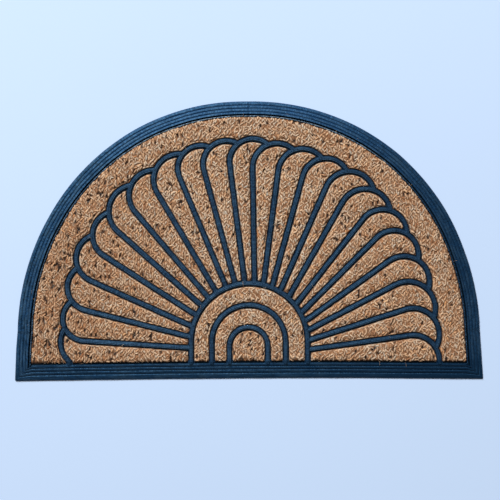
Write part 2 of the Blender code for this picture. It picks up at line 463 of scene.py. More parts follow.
def mesh_object(name, points, polygons):
    """An object from points in the mat's drawing, moved to the world's frame."""
    points = np.asarray(points, float) + TO_WORLD
    mesh = bpy.data.meshes.new(name)
    mesh.vertices.add(len(points))
    mesh.vertices.foreach_set("co", points.astype(np.float32).ravel())
    corners = np.concatenate([np.asarray(group).ravel() for group in polygons])
    sizes = np.concatenate([np.full(len(group), len(group[0])) for group in polygons])
    starts = np.concatenate(([0], np.cumsum(sizes)[:-1]))
    mesh.loops.add(len(corners))
    mesh.loops.foreach_set("vertex_index", corners.astype(np.int32))
    mesh.polygons.add(len(sizes))
    mesh.polygons.foreach_set("loop_start", starts.astype(np.int32))
    mesh.update(calc_edges=True)
    mesh.validate()
    mesh.shade_smooth()
    return add_object(name, mesh)


def outward_faces(item):
    """Turns the faces of a closed mesh outwards."""
    bm = bmesh.new()
    bm.from_mesh(item.data)
    bmesh.ops.recalc_face_normals(bm, faces=bm.faces)
    bm.to_mesh(item.data)
    bm.free()
    return item


def vertex_places(item):
    """Where a mesh's points are in the world."""
    places = np.empty(len(item.data.vertices) * 3, np.float32)
    item.data.vertices.foreach_get("co", places)
    return places.reshape(-1, 3).astype(float)


def add_values(item, name, values):
    """Gives each of a mesh's points a number or a vector that its material reads by name."""
    values = np.asarray(values, np.float32)
    kind, key = ("FLOAT", "value") if values.ndim == 1 else ("FLOAT_VECTOR", "vector")
    layer = item.data.attributes.new(name, kind, "POINT")
    layer.data.foreach_set(key, values.ravel())


# Lines of the fan

def arch_path(middle_x, half_width, centre_height):
    """A round arch on two straight legs, from the border on the right to the border on the left."""
    centre = np.array((middle_x, centre_height))
    count = math.ceil(math.pi * half_width / PATH_STEP)
    turn = on_circle(centre, half_width, np.linspace(0, math.pi, count))
    feet = [(middle_x + half_width, RIB_END)], [(middle_x - half_width, RIB_END)]
    return finely(np.concatenate((feet[0], turn, feet[1])), PATH_STEP)


def rib_frame(direction_degrees, hub_distance):
    """The rib's outward direction, its clockwise side, and the point of its line nearest to the hub."""
    direction = math.radians(direction_degrees)
    outward = np.array((math.cos(direction), math.sin(direction)))
    clockwise = np.array((outward[1], -outward[0]))
    return outward, clockwise, HUB + clockwise * hub_distance


def distance_to_circle(point, direction, centre, radius):
    """How far along the direction from the point the line leaves the circle."""
    away = point - centre
    along = away @ direction
    return -along + math.sqrt(along ** 2 - away @ away + radius ** 2)


def hook_centre(rib):
    """Centre of the hook's arc, which touches the rib's line and the circle of its reach."""
    direction_degrees, hub_distance, reach, radius = rib
    outward, clockwise, start = rib_frame(direction_degrees, hub_distance)
    beside = start + clockwise * radius
    return beside + outward * distance_to_circle(beside, outward, RIM_CENTRE, reach - radius)


def shank_start(outward, start):
    """Where the rib's line leaves the outer arch: on its round part, or lower down on its leg."""
    middle_x, half_width, centre_height = ARCHES[0]
    centre = np.array((middle_x, centre_height))
    point = start + outward * distance_to_circle(start, outward, centre, half_width)
    if point[1] < centre_height:
        leg_x = middle_x + math.copysign(half_width, outward[0])
        point = start + outward * ((leg_x - start[0]) / outward[0])
    return point


def foot_offset(centre, radius, side):
    """From a hook's centre to where it turns into its straight foot, on the right (1) or the left (-1)."""
    drop = FOOT_HEIGHT - centre[1]
    return np.array((side * math.sqrt(radius ** 2 - drop ** 2), drop))


def hook_end(centre, radius, following):
    """Where the hook's arc crosses the following hook's, on the outer side, or comes down to its foot."""
    if following is None:
        return centre + foot_offset(centre, radius, 1)
    apart = hook_centre(following) - centre
    length = np.linalg.norm(apart)
    along = (length ** 2 + radius ** 2 - following[-1] ** 2) / (2 * length)
    rise = math.sqrt(radius ** 2 - along ** 2)
    outer_side = np.array((-apart[1], apart[0])) / length
    return centre + apart / length * along + outer_side * rise


def rib_path(index):
    """Centre line of one rib: a straight shank, then a hook, clockwise to the next rib or to the border."""
    rib = RIBS[index]
    following = RIBS[index + 1] if index + 1 < len(RIBS) else None
    outward, clockwise, start = rib_frame(*rib[:2])
    centre = hook_centre(rib)
    radius = rib[-1]
    if index == 0:
        begin = foot_offset(centre, radius, -1)
        lead = np.array((centre[0] + begin[0], RIB_END))
    else:
        begin = -clockwise
        lead = shank_start(outward, start)
    end = hook_end(centre, radius, following) - centre
    first = math.atan2(begin[1], begin[0])
    turn = (first - math.atan2(end[1], end[0])) % (2 * math.pi)
    count = math.ceil(turn * radius / PATH_STEP * 1.5)
    path = [lead, *on_circle(centre, radius, first - np.linspace(0, turn, count + 1))]
    if following is None:
        path.append(np.array((path[-1][0], RIB_END)))
    return finely(path, PATH_STEP)


# Rubber moulding

def mitres(path, closed):
    """For each point of a path, the vector to its left that keeps a strip's width round the corner."""
    before = path - np.roll(path, 1, axis=0)
    after = np.roll(path, -1, axis=0) - path
    if not closed:
        before[0] = after[0]
        after[-1] = before[-1]
    turned = [np.stack((-run[:, 1], run[:, 0]), -1) for run in (before, after)]
    total = unit(turned[0]) + unit(turned[1])
    return total * 2 / np.sum(total ** 2, axis=1, keepdims=True)


def sweep(name, path, profiles, closed):
    """A solid strip: for each point of the path, profile points (distance to the left, height)."""
    left = mitres(path, closed)
    flat = path[:, None, :] + left[:, None, :] * profiles[..., :1]
    points = np.concatenate((flat, profiles[..., 1:]), -1)
    rings, size = profiles.shape[:2]
    ring = np.arange(rings if closed else rings - 1)[:, None] * size
    corner = np.arange(size)[None, :]
    following = (ring + size) % (rings * size)
    other = (corner + 1) % size
    quads = np.stack((ring + corner, ring + other, following + other, following + corner), -1)
    polygons = [quads.reshape(-1, 4)]
    if not closed:
        polygons.append([list(range(size))])
        polygons.append([list(range((rings - 1) * size, rings * size))])
    return outward_faces(mesh_object(name, points.reshape(-1, 3), polygons))


def make_slab(name, points, bottom, top):
    """A flat plate between two heights."""
    count = len(points)
    layers = [np.column_stack((points, np.full(count, height))) for height in (bottom, top)]
    index = np.arange(count)
    following = (index + 1) % count
    sides = np.stack((index, following, following + count, index + count), -1)
    polygons = [sides, [list(range(count))], [list(range(count, 2 * count))]]
    return outward_faces(mesh_object(name, np.concatenate(layers), polygons))


def rib_profile():
    """Cross-section of a rib: a web at its foot, rounded shoulders, and fine lines along its domed top."""
    half = RIB_TOP_WIDTH / 2
    across = -np.cos(np.linspace(0, math.pi, RIB_PROFILE_STEPS + 1)) * half
    out = np.abs(across) / half
    dome = RIB_DOME * (1 - np.clip(1 - out ** RIB_ROUNDNESS, 0, 1) ** (1 / RIB_ROUNDNESS))
    place = (across + half) / RIB_TOP_WIDTH * RIB_LINES
    lines = RIB_LINE_DEPTH * (0.5 + 0.5 * np.cos(2 * math.pi * place)) * (1 - out ** 4)
    top = np.stack((across, RIB_TOP - dome - lines), -1)
    foot = RIB_WIDTH / 2
    web = foot + WEB_WIDTH
    left_foot = [(-web, RIB_BOTTOM), (-web, WEB_TOP), (-foot, WEB_TOP)]
    right_foot = [(foot, WEB_TOP), (web, WEB_TOP), (web, RIB_BOTTOM)]
    return np.concatenate((left_foot, top, right_foot))


def make_strip(name, path, drop):
    """A rib or arch that wanders and swells a little, as a moulded one does. A rib dips where it starts."""
    count = len(path)
    index = np.arange(count)
    steady = np.clip(np.minimum(index, index[::-1]) / STEADY_POINTS, 0, 1)
    path = path + mitres(path, False) * (slow_noise(count, PATH_STEP, STRIP_WANDER) * steady)[:, None]
    profiles = np.repeat(rib_profile()[None], count, axis=0)
    profiles[..., 0] *= (1 + slow_noise(count, PATH_STEP, STRIP_SWELL))[:, None]
    top = slice(WEB_POINTS, -WEB_POINTS)
    profiles[:, top, 1] += slow_noise(count, PATH_STEP, STRIP_UNEVEN)[:, None] - drop
    profiles[:2, top, 1] -= HUB_DIP if drop else 0.0
    return sweep(name, path, profiles, False)


def ridge_heights(places):
    """Height of the border's ridges at each distance from the mat's edge."""
    within = ((places - RIDGE_START) / RIDGE_PITCH) % 1
    crest = 1 - np.abs(2 * within - 1) ** RIDGE_FLATNESS
    crest = np.where(places < RIDGE_START + RIDGE_PITCH / 2, ramp(places, *RIM_ROUNDING), crest)
    return RIM_HEIGHT + BORDER_SLOPE * places - RIDGE_DEPTH * (1 - crest)


def border_profile():
    """Cross-section of the border, from its outer edge inwards: ridges, deep groove and lip."""
    places = [RIDGE_START / 2] + [
        RIDGE_START + (ridge + step) * RIDGE_PITCH
        for ridge in range(RIDGE_COUNT)
        for step in np.linspace(0, 1, RIDGE_STEPS, endpoint=False)
    ]
    places = np.array([place for place in places if place < GROOVE_START - GROOVE_MARGIN])
    ridges = np.stack((places, ridge_heights(places)), -1)
    foot = [(FOOT_BEVEL, 0.0), (0.0, RIM_FOOT[0]), (0.0, RIM_FOOT[1])]
    lip = [
        (GROOVE_START, GROOVE_BOTTOM),
        (GROOVE_END, GROOVE_BOTTOM),
        (LIP_START, LIP_TOP - LIP_ROUNDING),
        (LIP_START + LIP_ROUNDING * 0.3, LIP_TOP - LIP_ROUNDING * 0.3),
        (LIP_START + LIP_ROUNDING, LIP_TOP),
        (LIP_END - LIP_ROUNDING, LIP_TOP),
        (LIP_END, LIP_TOP - LIP_ROUNDING),
        (LIP_END, 0.0),
    ]
    return np.concatenate((foot, ridges, lip))


def border_path():
    """The mat's outline, counter-clockwise from the left corner, and the number of its point at the seam."""
    count = math.ceil(math.pi * MAT_RADIUS / RIM_STEP)
    seam = SEAM_WIDTH / 2 / MAT_RADIUS
    angles = np.linspace(0, math.pi, count + 1)
    angles = angles[np.abs(angles - math.pi / 2) > seam * 2]
    angles = np.sort(np.concatenate((angles, math.pi / 2 + seam * np.array((-1, 0, 1)))))
    rim = on_circle(RIM_CENTRE, MAT_RADIUS, angles)
    left = np.array((-MAT_RADIUS, 0.0))
    right = np.array((MAT_RADIUS, 0.0))
    inner = np.array((BASE_LIP_END, 0.0))
    upper = np.array((0.0, BASE_LIP_END))
    front = finely([left + inner, right - inner], RIM_STEP * 2)
    right_side = finely([right + upper, rim[0]], RIM_STEP * 2)[:-1]
    left_side = finely([rim[-1], left + upper], RIM_STEP * 2)[1:]
    path = np.concatenate(([left], front, [right], right_side, rim, left_side))
    seam_ring = int(np.argmin(np.linalg.norm(path - (0.0, MAT_DEPTH), axis=1)))
    return path, seam_ring


def make_border():
    """The border: along the base its ridges lie farther in, its groove is narrow and its lip falls away."""
    path, seam_ring = border_path()
    profiles = np.repeat(border_profile()[None], len(path), axis=0)
    top = profiles[0, :, 1] > RIM_FOOT[0]
    profiles[:, top, 1] += slow_noise(len(path), RIM_STEP, BORDER_UNEVEN)[:, None]
    profiles[seam_ring, top, 1] += SEAM_HEIGHT
    at_base = (path[:, 1] < BASE_MARGIN) & (np.abs(path[:, 0]) < MAT_RADIUS - BASE_MARGIN)
    foot_points = 3
    groove = np.flatnonzero(profiles[0, :, 0] == GROOVE_START)[0]
    places, heights = profiles[0, :groove].T
    hollow = np.clip(RIM_HEIGHT + BORDER_SLOPE * places - heights, 0, RIDGE_DEPTH)
    profiles[at_base, foot_points:groove, 1] -= BASE_DEEPER * hollow[foot_points:]
    moved = np.array(RIDGES_AT_BASE)
    profiles[at_base, :groove, 0] = np.interp(places, moved[:, 0], moved[:, 1])
    fall = np.linspace(0, 1, profiles.shape[1] - groove - 1)
    start = moved[-1, 1] + 0.0001
    profiles[at_base, groove:-1, 0] = start + (BASE_RIDGE_END - start) * fall ** 0.6
    profiles[at_base, groove:-1, 1] = LIP_TOP - BASE_LIP_DROP - BASE_LIP_FALL * fall ** 3
    profiles[at_base, -1, 0] = BASE_RIDGE_END
    return sweep("border", path, profiles, True)


def corner_cutter(side):
    """What is taken off a bottom corner to round it: the corner's square less a quarter of a disc."""
    middle = np.array((MAT_RADIUS - CORNER_RADIUS, CORNER_RADIUS))
    arc = on_circle(middle, CORNER_RADIUS, np.linspace(-math.pi / 2, 0, 7))
    outer = MAT_RADIUS + CORNER_RADIUS
    square = [(outer, CORNER_RADIUS), (outer, -CORNER_RADIUS), (arc[0, 0], -CORNER_RADIUS)]
    points = np.concatenate((arc, square))
    points[:, 0] *= side
    return make_slab("corner_cutter", points, *CUTTER_HEIGHTS)


def make_flash():
    """The ragged film of rubber on the lip, left where the coir's edge was pressed in."""
    radius = MAT_RADIUS - LIP_START
    steps = math.ceil(math.pi * radius / FLASH_STEP)
    rim = on_circle(RIM_CENTRE, radius, np.linspace(0, math.pi, steps))
    corners = [np.array((-radius, LIP_START)), np.array((radius, LIP_START))]
    path = np.concatenate((finely([rim[-1], *corners, rim[0]], FLASH_STEP)[:-1], rim[:-1]))
    count = len(path)
    width = LIP_END - LIP_START
    bottom = LIP_TOP - FLASH_DEPTH
    reach = width + rng.normal(0, FLASH_REACH, count)
    rise = LIP_TOP + 0.0002 + np.abs(rng.normal(0, FLASH_RISE, count))
    profiles = np.empty((count, 5, 2))
    profiles[:, 0] = (0.0002, bottom)
    profiles[:, 1] = (0.0003, LIP_TOP - 0.0001)
    profiles[:, 2] = np.column_stack((reach * FLASH_CREST, rise))
    profiles[:, 3] = np.column_stack((reach, rise - FLASH_THICKNESS))
    profiles[:, 4, 0] = np.minimum(reach, width) - FLASH_THICKNESS
    profiles[:, 4, 1] = bottom
    at_base = path[:, 1] < LIP_START + 0.0002
    places, heights = profiles[at_base, :, 0], profiles[at_base, :, 1]
    profiles[at_base, :, 0] = np.minimum(places, width - 0.0005)
    profiles[at_base, :, 1] = np.minimum(heights - FLASH_BASE_DROP, bottom - 0.0005)
    return sweep("flash", path, profiles, True)


def make_backing():
    """The flat sheet under the mat, which ends under the lip."""
    side = MAT_RADIUS - LIP_MIDDLE
    rim = on_circle(RIM_CENTRE, side, np.linspace(0, math.pi, OUTLINE_STEPS + 1))
    outline = np.concatenate(([(-side, LIP_MIDDLE), (side, LIP_MIDDLE)], rim))
    return make_slab("backing", outline, 0.0, BACKING_TOP)


def make_base_lip():
    """The floor of the crevice between the base's ridges and the coir."""
    side = MAT_RADIUS - LIP_MIDDLE
    front = LIP_START + LIP_ROUNDING
    outline = np.array([(-side, front), (side, front), (side, BASE_LIP_END), (-side, BASE_LIP_END)])
    return make_slab("base_lip", outline, 0.0, CREVICE_BOTTOM)


def moulded(name, items, cutters):
    """One mesh of all the items, which touch or cross each other, less the cutters."""
    first, others = items[0], items[1:]
    for other in others + cutters:
        modifier = first.modifiers.new("join", "BOOLEAN")
        modifier.operation = "DIFFERENCE" if other in cutters else "UNION"
        modifier.solver = "MANIFOLD"
        modifier.object = other
    bpy.context.view_layer.update()
    depsgraph = bpy.context.evaluated_depsgraph_get()
    mesh = bpy.data.meshes.new_from_object(first.evaluated_get(depsgraph), depsgraph=depsgraph)
    for item in items + cutters:
        bpy.data.objects.remove(item, do_unlink=True)
    mesh.name = name
    mesh.shade_smooth()
    mesh.set_sharp_from_angle(angle=SHARP_ANGLE)
    return add_object(name, mesh)


def place_on_lines(points, paths):
    """For each point, how far along the nearest line of the fan it lies, and how far from it."""
    fine = [finely(path, FINE_STEP) for path in paths]
    along = np.concatenate([distances_along(path) + LINE_SHIFT * number for number, path in enumerate(fine)])
    fine = np.concatenate(fine)
    tree = KDTree(len(fine))
    for index, point in enumerate(fine):
        tree.insert((*point, 0.0), index)
    tree.balance()
    found = [tree.find((x, y, 0.0)) for x, y, _ in points]
    nearest = np.array([entry[1] for entry in found])
    return along[nearest], np.array([entry[2] for entry in found])


def mark_rubber(item, paths):
    """What the rubber's material reads: place along its lines, the torn film with painted light on it, deep
    places painted near black as shade, and the fan with its dust and painted shade.
    """
    places = vertex_places(item) - TO_WORLD
    x, y, height = places.T
    room = room_to_edge(places[:, :2])[0]
    on_border = room < ON_BORDER
    along, across = place_on_lines(places, paths)
    rim_angle = np.arctan2(y - SIDE_LENGTH, x)
    along_border = np.where(y < SIDE_LENGTH, x + y, rim_angle * MAT_RADIUS)
    along = np.where(on_border, along_border, along)
    add_values(item, "grain", np.column_stack((along, np.where(on_border, -room, across), height)))

    on_lip = on_border & (room > LIP_START - LIP_END - 2 * MARK_MARGIN) & (height > LIP_TOP - FILM_DEPTH)
    # The torn film's paleness is partly its own and partly painted light, more at the left and the top where
    # the lamp's light falls
    frayed_and_lit = FRAYED + LIT_FILM_LEFT * ramp(-x, *LIT_FILM_LEFT_FROM) + LIT_FILM_TOP * ramp(y, *LIT_FILM_TOP_FROM)
    add_values(item, "frayed_and_lit", on_lip * np.clip(frayed_and_lit, 0, 1) * (y > 0.04))

    # Painted shade: the web beside the ribs, the floor of the deep groove and the crevice at the base are
    # painted near black
    on_web = (room > ON_WEB) & (height < WEB_TOP + MARK_MARGIN)
    from_groove = np.abs(room + LIP_END - (GROOVE_START + GROOVE_END) / 2)
    in_groove = (from_groove < GROOVE_REACH) & (height < LIP_TOP - MARK_MARGIN) & (y > BASE_LIP_END)
    in_crevice = (room > -CREVICE_REACH) & (height < CREVICE_BOTTOM + 0.0004) & (y < BASE_LIP_END + 0.0005)
    add_values(item, "deep", on_web | in_groove | in_crevice)
    # Where the fan lies: it takes dust, and the fan's painted shade in place of the border's
    add_values(item, "fan_dust_and_shade", ramp(room, 0.0, 0.002))


def make_rubber(paths):
    """Backing, border, base lip, arches and ribs as one moulding."""
    drops = [0.0] * len(ARCHES) + [RIB_DROP] * len(RIBS)
    strips = [make_strip(f"strip_{number}", *strip) for number, strip in enumerate(zip(paths, drops))]
    items = [make_border(), make_backing(), make_base_lip(), make_flash()] + strips
    rubber = moulded("rubber_fan_and_border", items, [corner_cutter(-1), corner_cutter(1)])
    mark_rubber(rubber, paths)
    return rubber


# Distances to the fan and to the coir's edge

def outwards(points):
    """Distance from the mat's middle line, or above it from the rim's centre, and the direction outwards."""
    offset = points - RIM_CENTRE
    radial = np.linalg.norm(offset, axis=-1)
    above = offset[..., 1] > 0
    sideways = np.stack((np.sign(offset[..., 0]), np.zeros_like(radial)), -1)
    direction = np.where(above[..., None], offset / np.maximum(radial, 1e-9)[..., None], sideways)
    return np.where(above, radial, np.abs(offset[..., 0])), direction, above


def room_to_edge(points):
    """Distance to the coir's own outline, and the direction inwards from it."""
    reach, direction, _ = outwards(points)
    to_rim = COIR_RADIUS - reach
    to_front = points[..., 1] - COIR_FRONT
    front = to_front < to_rim
    inward = np.where(front[..., None], np.array((0.0, 1.0)), -direction)
    return np.where(front, to_front, to_rim), inward


def edge_inset(points):
    """How far the pile keeps from the coir's cut edge: more along the base, most of all at its left end."""
    front = FRONT_INSET + CORNER_INSET * ramp(-points[..., 0], *CORNER_FROM)
    outer = OUTER_INSET + SIDE_INSET * ramp(np.abs(points[..., 0]), *SIDE_FROM)
    return np.where(points[..., 1] - COIR_FRONT < FRONT_DEPTH, front, outer)


class Field:
    """Grids over the mat: distance to the fan's nearest line, the way off it, and the room beside it."""

    def __init__(self, paths):
        self.rows = int(MAT_DEPTH / FIELD_PITCH) + 1
        self.columns = int(MAT_WIDTH / FIELD_PITCH) + 1
        self.distances = np.full((self.rows, self.columns), FIELD_REACH)
        self.ways = np.zeros((self.rows, self.columns, 2))
        for path in paths:
            for start, end in zip(path[::2], [*path[2::2], path[-1]]):
                self.add_stretch(start, end)
        self.rooms = self.distances
        for _ in range(ROOM_STEPS):
            for axis in (0, 1):
                for shift in (1, -1):
                    self.rooms = np.maximum(self.rooms, np.roll(self.rooms, shift, axis))

    def add_stretch(self, start, end):
        """Marks the grid's places that lie nearer to this stretch of a line than to those before it."""
        xs = -MAT_RADIUS + np.arange(self.columns) * FIELD_PITCH
        ys = np.arange(self.rows) * FIELD_PITCH
        low = np.minimum(start, end) - FIELD_REACH
        high = np.maximum(start, end) + FIELD_REACH
        columns = slice(*np.searchsorted(xs, (low[0], high[0])))
        rows = slice(*np.searchsorted(ys, (low[1], high[1])))
        places = np.stack(np.meshgrid(xs[columns], ys[rows]), -1)
        run = end - start
        share = np.clip((places - start) @ run / max(run @ run, 1e-12), 0, 1)
        offset = places - (start + share[..., None] * run)
        length = np.linalg.norm(offset, axis=-1)
        nearer = length < self.distances[rows, columns]
        self.distances[rows, columns][nearer] = length[nearer]
        self.ways[rows, columns][nearer] = unit(offset)[nearer]

    def cell(self, points):
        """Row and column of the grid's place nearest to each point."""
        row = np.rint(points[..., 1] / FIELD_PITCH).astype(int)
        column = np.rint((points[..., 0] + MAT_RADIUS) / FIELD_PITCH).astype(int)
        return np.clip(row, 0, self.rows - 1), np.clip(column, 0, self.columns - 1)

    def away(self, points):
        """Direction off the fan's nearest line."""
        return self.ways[self.cell(points)]

    def distance(self, points):
        """Distance to the fan's nearest line, taken between the grid's places."""
        column = np.clip((points[..., 0] + MAT_RADIUS) / FIELD_PITCH, 0, self.columns - 1.001)
        row = np.clip(points[..., 1] / FIELD_PITCH, 0, self.rows - 1.001)
        left, low = column.astype(int), row.astype(int)
        u, v = column - left, row - low
        grid = self.distances
        return (
            grid[low, left] * (1 - u) * (1 - v) + grid[low, left + 1] * u * (1 - v)
            + grid[low + 1, left] * (1 - u) * v + grid[low + 1, left + 1] * u * v
        )

    def clearance(self, points):
        """How far the coir keeps from a line: less in a narrow gap, more on the side it is brushed from."""
        cell = self.cell(points)
        clearance = np.clip(self.rooms[cell] - NARROW_ROOM, NARROW_CLEARANCE, RIB_CLEARANCE)
        wide = (clearance - NARROW_CLEARANCE) / (RIB_CLEARANCE - NARROW_CLEARANCE)
        brushed = np.clip(-self.ways[cell] @ np.array(BRUSHED_WAY), 0, 1)
        return clearance + BRUSHED_GAP * wide * brushed

    def room(self, points):
        """Half the width of the coir between two lines of the fan."""
        return np.clip(self.rooms[self.cell(points)] - self.clearance(points), 0, None)

    def height(self, points):
        """Height of the pile's top: full in the middle of the coir, lower beside ribs and at the edge."""
        from_rib = (self.distance(points) - self.clearance(points)) / EDGE_ROUNDING
        from_edge = (room_to_edge(points)[0] - edge_inset(points)) / EDGE_ROUNDING
        short = 1 - np.clip(np.minimum(from_rib, from_edge), 0, 1)
        return COIR_TOP - EDGE_DROP * (1 - np.sqrt(1 - short ** 2))


# Coir sheet

def open_places(flat, pits):
    """How open the ground is, from 0 to 1: where loops are missing, and along the straight edge."""
    result = np.zeros(len(flat))
    for pit in pits:
        near = np.flatnonzero(np.abs(flat[:, 0] - pit[0]) < PIT_RADIUS)
        away = np.linalg.norm((flat[near] - pit) * PIT_SHAPE, axis=1)
        result[near] = np.maximum(result[near], 1 - ramp(away, PIT_RADIUS * 0.4, PIT_RADIUS))
    from_front = flat[:, 1] - COIR_FRONT - edge_inset(flat)
    return np.maximum(result, (1 - ramp(from_front, *FRONT_GAP)) * (from_front < FRONT_GAP_END))


def closed_sheet(name, flat, height, quads, pit):
    """A sheet with a rim down to the coir's underside and a flat bottom."""
    used, quads = np.unique(quads, return_inverse=True)
    quads = quads.reshape(-1, 4)
    edges = set(zip(quads.ravel().tolist(), np.roll(quads, -1, axis=1).ravel().tolist()))
    following = {start: end for start, end in edges if (end, start) not in edges}
    rim = [min(following)]
    while following[rim[-1]] != rim[0]:
        rim.append(following[rim[-1]])
    top = raised(flat[used], height[used])
    foot = raised(flat[used[rim]], np.full(len(rim), COIR_UNDERSIDE))
    below = len(top) + np.arange(len(rim))
    sides = np.stack((rim, below, np.roll(below, -1), np.roll(rim, -1)), -1)
    item = outward_faces(mesh_object(name, np.concatenate((top, foot)), [quads, sides, [below]]))
    item.data.set_sharp_from_angle(angle=SHEET_SHARP_ANGLE)
    # Painted shade: how near black the ground is painted, in its pits, its furrows beside the fan and along
    # the straight edge
    add_values(item, "pit", np.concatenate((pit[used], pit[used[rim]])))
    return item


def make_coir_sheet(field, pits):
    """The coir's ground: one cut sheet under the loops, pressed down along the fan and open at its pits."""
    columns = int(2 * COIR_RADIUS / SHEET_PITCH) + 1
    rows = int((MAT_DEPTH - COIR_FRONT) / SHEET_PITCH) + 1
    xs = np.linspace(-COIR_RADIUS, COIR_RADIUS, columns)
    ys = COIR_FRONT + np.arange(rows) * SHEET_PITCH
    grid = np.stack(np.meshgrid(xs, ys), -1)
    room, inward = room_to_edge(grid)
    used = room > -SHEET_SLACK * SHEET_PITCH
    grid = grid + np.where(((room < 0) & used)[..., None], -room[..., None] * inward, 0)
    cell = used[:-1, :-1] & used[1:, :-1] & used[:-1, 1:] & used[1:, 1:]
    index = np.arange(rows * columns).reshape(rows, columns)
    quads = np.stack((index[:-1, :-1], index[:-1, 1:], index[1:, 1:], index[1:, :-1]), -1)[cell]
    flat = grid.reshape(-1, 2)
    pit = open_places(flat, pits)
    clearance = field.clearance(flat)
    full = ramp(field.distance(flat), clearance + FURROW_EDGE[0], clearance + FURROW_EDGE[1])
    top = field.height(flat) - SHEET_DEPTH + SHEET_UNEVEN * waves(flat, SHEET_WAVES, seed=3)
    height = FURROW_BOTTOM + (top - FURROW_BOTTOM) * full
    height = np.maximum(height - PIT_DEPTH * pit, FURROW_BOTTOM)
    # The furrows beside the fan join the pits in the painted shade
    return closed_sheet("coir_sheet", flat, height, quads, np.maximum(pit, 1 - full))


# Strands

def tube_mesh(name, lines, radii, sides, colours, roll):
    """One mesh of many closed strands. Lines, radii and colours go by strand, then by ring."""
    strands, rings = radii.shape
    run = np.gradient(lines, axis=1)
    forward = unit(run)
    up = np.broadcast_to(np.array((0.0, 0.0, 1.0)), forward.shape)
    side = unit(np.cross(forward, up))
    lift = np.cross(side, forward)
    angles = math.pi / 2 + 2 * math.pi * np.arange(sides) / sides
    angles = angles[None, None, :, None] + roll[:, None, None, None]
    around = np.cos(angles) * side[:, :, None, :] + np.sin(angles) * lift[:, :, None, :]
    around[..., 2] *= STRAND_FLATNESS
    points = lines[:, :, None, :] + radii[:, :, None, None] * around
    index = np.arange(strands * rings * sides).reshape(strands, rings, sides)
    following = np.roll(index, -1, axis=2)
    quads = np.stack((index[:, :-1], following[:, :-1], following[:, 1:], index[:, 1:]), -1).reshape(-1, 4)
    ends = np.concatenate((index[:, 0, ::-1], index[:, -1, :]))
    item = mesh_object(name, points.reshape(-1, 3), [quads, ends])
    spread = np.ones((strands, rings, sides, 4), np.float32)
    spread[..., :3] = colours[:, :, None, :]
    layer = item.data.color_attributes.new("strand_colour", "FLOAT_COLOR", "POINT")
    layer.data.foreach_set("color", spread.ravel())
    place = np.zeros((strands, rings, sides, 3), np.float32)
    place[..., 0] = np.arange(sides) / sides
    place[:, 1:, :, 1] = np.cumsum(np.linalg.norm(run[:, 1:], axis=-1), 1)[:, :, None]
    place[..., 2] = np.arange(strands)[:, None, None] * NEXT_STREAKS % STREAK_SPAN
    add_values(item, "strand_place", place.reshape(-1, 3))
    return item


def tube_meshes(name, pieces, places, kept, lines, radii, sides, colours, roll):
    """The kept strands as several pieces of like size, from left to right."""
    order = np.flatnonzero(kept)
    order = order[np.argsort(places[order, 0], kind="stable")]
    return [
        tube_mesh(f"{name}_{number}", lines[chosen], radii[chosen], sides, colours[chosen], roll[chosen])
        for number, chosen in enumerate(np.array_split(order, pieces), 1)
    ]


def arch_of(rings):
    """The height of an arch at each ring of a strand, from 0 at its ends to 1 in its middle."""
    return np.sin(math.pi * np.linspace(0, 1, rings))


def strand_lines(middle, angle, length, bow, curve):
    """Points of strands in plan: each is a straight run that its bow bends sideways, by the curve."""
    share = np.linspace(0, 1, len(curve))
    along = np.stack((np.cos(angle), np.sin(angle)), -1)
    across = np.stack((-along[:, 1], along[:, 0]), -1)
    return (
        middle[:, None, :]
        + along[:, None, :] * (length[:, None] * (share - 0.5))[..., None]
        + across[:, None, :] * (bow[:, None] * curve)[..., None]
    )


def raised(lines, height):
    """Points in plan with their heights."""
    return np.concatenate((lines, height[..., None]), -1)


def coir_colours(shade, red, end_shade):
    """A colour from dark brown to straw for each shade from 0 to 1, some redder, times the end shade given
    for each ring, which paints shade at a strand's ends.
    """
    place = np.clip(shade, 0, 1) * (len(PALETTE) - 1.001)
    low = place.astype(int)
    share = (place - low)[:, None]
    colour = PALETTE[low] * (1 - share) + PALETTE[low + 1] * share
    colour = colour * (1 + REDDER * red[:, None])
    return colour[:, None, :] * end_shade


def darkening(points):
    """How much darker the coir is: most at the left end and inside the inner arch, least above the hub."""
    left = LEFT_DARKER * ramp(-points[:, 0], *LEFT_FROM)
    reach = np.linalg.norm(points - HUB, axis=1)
    upwards = (points[:, 1] - HUB[1]) / np.maximum(reach, 0.001)
    top = ramp(upwards, *TOP_FROM) * (TOP_LIGHTER - RIM_DARKER * ramp(reach, *RIM_FROM))
    inner = INNER_LIGHTER * (1 - ramp(reach, *INNER_UP_TO))
    lighter = np.maximum(top, inner)
    return left + HUB_DARKER - (lighter + HUB_DARKER) * ramp(reach, *HUB_UP_TO)


def keep_clear(field, lines, clearance, edge_clearance):
    """Moves the strands' points off the fan and in from the edge, each to the side where its strand lies.

    The second result says which strands moved little enough to be kept.
    """
    before = lines
    own_side = field.away(lines[:, lines.shape[1] // 2])[:, None, :]
    for _ in range(3):
        distance, away = field.distance(lines), field.away(lines)
        crossed = (np.sum(away * own_side, -1) < 0) & (distance < NARROW_CLEARANCE)
        signed = np.where(crossed, -distance, distance)
        push = np.clip(field.clearance(lines) + clearance[:, None] - signed, 0, None)
        push[distance > FIELD_REACH * 0.9] = 0
        lines = lines + push[..., None] * np.where(crossed[..., None], own_side, away)
        room, inward = room_to_edge(lines)
        lines = lines + np.clip(edge_clearance[:, None] - room, 0, None)[..., None] * inward
    moved = np.linalg.norm(lines - before, axis=-1).max(axis=1)
    halfway = (lines[:, 1:] + lines[:, :-1]) / 2
    every = np.concatenate((lines, halfway), 1)
    spare = (field.distance(every) - field.clearance(every)).min(axis=1)
    return lines, (moved < LARGEST_MOVE) & (spare > clearance - CUT_CORNER)


